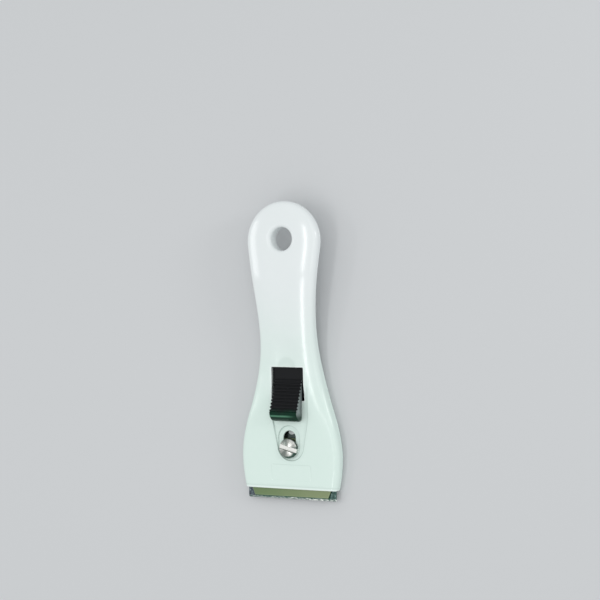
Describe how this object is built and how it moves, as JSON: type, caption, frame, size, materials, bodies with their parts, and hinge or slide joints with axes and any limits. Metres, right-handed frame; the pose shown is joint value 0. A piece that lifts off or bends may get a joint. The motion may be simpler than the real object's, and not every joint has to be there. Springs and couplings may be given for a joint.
{
  "type": "ceramic hob scraper",
  "caption": "Hand scraper for glass-ceramic hobs: waisted white handle with a hanging hole, a steel blade under a clamp plate and screw, drawn in and out by a ribbed slide button.",
  "frame": {"origin": "on the surface that the scraper lies on, under the middle of its length, from the blade's edge to the hanging end", "axes": "+Y along the handle towards the hanging end, with the blade at -Y; +Z out of the front, where the button and the screw are; +X across it"},
  "size_m": [0.0446, 0.1204, 0.0132],
  "materials": {
    "housing_plastic": "smooth moulded, satin gloss",
    "button_plastic": "black, fine moulded grain",
    "zinc_steel": "bright zinc plate",
    "blade_steel": "dark hardened, ground edge",
    "plate_steel": "yellow passivated",
    "screw_nickel": "nickel plate",
    "spring_steel": "bare spring strip"
  },
  "bodies": {
    "housing": {"front_shell": "housing_plastic", "rear_shell": "housing_plastic"},
    "slider": {"slide_button": "button_plastic", "blade_carriage": "zinc_steel", "threaded_bush": "zinc_steel", "blade_pins": "zinc_steel", "scraper_blade": "blade_steel", "detent_spring": "spring_steel", "spring_rivet": "zinc_steel"},
    "clamp": {"clamp_plate": "plate_steel"},
    "screw": {"clamp_screw": "screw_nickel"}
  },
  "joints": [
    {"name": "blade_slide", "type": "slide", "parent": "housing", "child": "slider", "axis": [0, 1, 0], "range_m": [0, 0.0043]},
    {"name": "clamp_lift", "type": "slide", "parent": "slider", "child": "clamp", "axis": [0, 0, 1], "range_m": [0, 0.00035]},
    {"name": "screw_turn", "type": "hinge", "parent": "clamp", "child": "screw", "pos_m": [0, -0.0394, 0.005], "axis": [0, 0, 1], "range_deg": [0, 180]}
  ],
  "couplings": [
    {"joint": "screw_turn", "follows": "clamp_lift", "rad_per_m": 8976}
  ]
}
